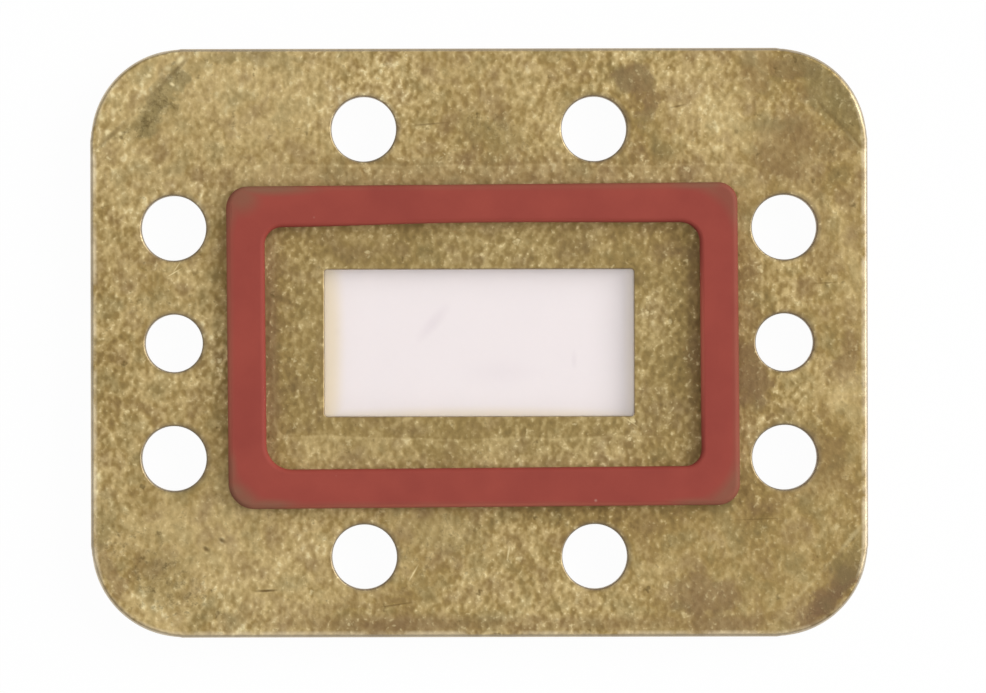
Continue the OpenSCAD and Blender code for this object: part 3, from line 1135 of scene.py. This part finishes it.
def ring_space(sizes, low, high):
    """Shape that leaves the ring open: its bottom edge lies higher where the bottom bar has
    spread, and its upper ends are lowered where the top bar sags."""
    bar = Vector((sizes.bar_width, sizes.bar_width, 0))
    swell = Vector((0, sizes.bottom_swell, 0))
    over = Vector((0, 0, OVER))
    inside = block("inside", low + bar + swell - over, high - bar + over, sizes.inner_corners, segments=10)
    bpy.ops.object.mode_set(mode="EDIT")
    slice_across(inside, Vector((1, 0, 0)), reach=12)
    sag_end(inside, -1, sizes.left_sag)
    sag_end(inside, 1, sizes.right_sag)
    bpy.ops.object.mode_set(mode="OBJECT")
    return inside


class GasketOperator(bpy.types.Operator):
    """Model the moulded gasket that lies loose on the front plate"""

    bl_idname = "window.gasket"
    bl_label = "Gasket"

    def execute(self, context):
        sizes = context.scene.window_gasket
        half = Vector((sizes.outer_length / 2, sizes.outer_width / 2, 0))
        low = Vector((-half.x, -half.y, gasket_low.z))
        high = Vector((half.x, half.y, gasket_high.z))
        ring = block("gasket_dressed", low, high, sizes.outer_corners, segments=12)
        cut(ring, [ring_space(sizes, low, high)])
        activate(ring)
        bpy.ops.object.mode_set(mode="EDIT")
        pick(ring, "EDGE", lambda e: is_rim(e, low.z) or is_rim(e, high.z))
        bpy.ops.mesh.bevel(offset=sizes.edge_round, segments=5, affect="EDGES")
        slice_across(ring, Vector((1, 0, 0)), reach=16)
        slice_across(ring, Vector((0, 1, 0)), reach=10)
        pick(ring, "VERT", lambda v: True)
        bpy.ops.transform.rotate(
            value=-GASKET_TURN, orient_axis="Z", orient_type="GLOBAL", center_override=(0, 0, 0)
        )
        bpy.ops.transform.translate(value=(GASKET_CENTRE.x, GASKET_CENTRE.y, 0))
        bpy.ops.object.mode_set(mode="OBJECT")
        smooth_rims(ring)
        dress(ring, rubber_material(context.scene.window_rubber), "red_rubber", "gasket")
        return {"FINISHED"}


# Most of the light comes from the right, as the shadows in the holes show
LAMPS = (
    Lamp("right_softbox", (0.8, 0.28, 0.72), 0.9, 0.8, 4.4),
    Lamp("overhead_softbox", (0.0, 0.0, 1.4), 1.2, 1.2, 0.5),
    Lamp("left_softbox", (-0.9, 0.1, 0.95), 0.4, 0.4, 0.6),
    Lamp("near_softbox", (0.1, -0.9, 0.95), 0.5, 0.4, 0.6),
)


def add_lamp(lamp):
    """Soft box that faces the object and shines at its radiance."""
    bpy.ops.object.light_add(type="AREA", location=lamp.place)
    box = bpy.context.active_object
    box.name = lamp.name
    box.data.shape = "RECTANGLE"
    box.data.size = lamp.width
    box.data.size_y = lamp.height
    box.data.energy = lamp.radiance * math.pi * lamp.width * lamp.height
    box.rotation_euler = (-Vector(lamp.place)).to_track_quat("-Z", "Y").to_euler()


def add_floor(size):
    """White paper that the object lies on, which is no part of it."""
    bpy.ops.object.select_all(action="DESELECT")
    bpy.ops.mesh.primitive_plane_add(size=size, location=(0, 0, 0))
    floor = bpy.context.active_object
    floor.name = "floor"
    floor.data.materials.append(paper_material())


def white_room(strength):
    """World that lights the object evenly from all sides."""
    world = bpy.data.worlds.new("soft_room")
    world.use_nodes = True
    feed(world.node_tree.nodes["Background"], {"Color": (1, 1, 1, 1), "Strength": strength})
    return world


def add_camera(scene, stage):
    """Camera that looks straight down from far away, so the picture shows the width asked for."""
    data = bpy.data.cameras.new("camera")
    data.lens = stage.lens
    data.clip_start = stage.clip_start
    data.clip_end = stage.clip_end
    camera = bpy.data.objects.new("camera", data)
    scene.collection.objects.link(camera)
    distance = stage.view_width * stage.lens / data.sensor_width
    camera.location = (stage.aim_x, stage.aim_y, plate_high.z + distance)
    camera.rotation_euler = (0, 0, -stage.roll)
    scene.camera = camera


class StageOperator(bpy.types.Operator):
    """Set up the floor, the lamps and the camera"""

    bl_idname = "window.stage"
    bl_label = "Stage"

    def execute(self, context):
        scene = context.scene
        stage = scene.window_stage
        add_floor(stage.floor_size)
        scene.world = white_room(stage.room_light)
        for lamp in LAMPS:
            add_lamp(lamp)
        add_camera(scene, stage)
        scene.view_settings.view_transform = "Standard"
        return {"FINISHED"}


class WindowPanel(bpy.types.Panel):
    """Lists the sizes, the finishes and the buttons that make each piece"""

    bl_idname = "VIEW3D_PT_pressure_window"
    bl_label = "Pressure window"
    bl_space_type = "VIEW_3D"
    bl_region_type = "UI"
    bl_category = "Window"

    def draw(self, context):
        for name, group in GROUPS.items():
            box = self.layout.box()
            box.label(text=group.__name__)
            settings = getattr(context.scene, name)
            for key in group.__annotations__:
                box.prop(settings, key)
        for operator in OPERATORS:
            self.layout.operator(operator.bl_idname)


OPERATORS = (
    StageOperator,
    RearPlateOperator,
    WindowSheetOperator,
    BondOperator,
    FrontPlateOperator,
    GasketOperator,
)
CLASSES = (*GROUPS.values(), *OPERATORS, WindowPanel)


def register():
    """Register the classes and attach the settings to the scene."""
    for entry in CLASSES:
        bpy.utils.register_class(entry)
    for name, group in GROUPS.items():
        setattr(bpy.types.Scene, name, PointerProperty(type=group))


def unregister():
    """Take the settings and classes away again."""
    for name in GROUPS:
        delattr(bpy.types.Scene, name)
    for entry in reversed(CLASSES):
        bpy.utils.unregister_class(entry)


def main():
    """Make every piece in order."""
    register()
    bpy.ops.window.stage()
    bpy.ops.window.rear_plate()
    bpy.ops.window.sheet()
    bpy.ops.window.bonds()
    bpy.ops.window.front_plate()
    bpy.ops.window.gasket()


if __name__ == "__main__":
    main()
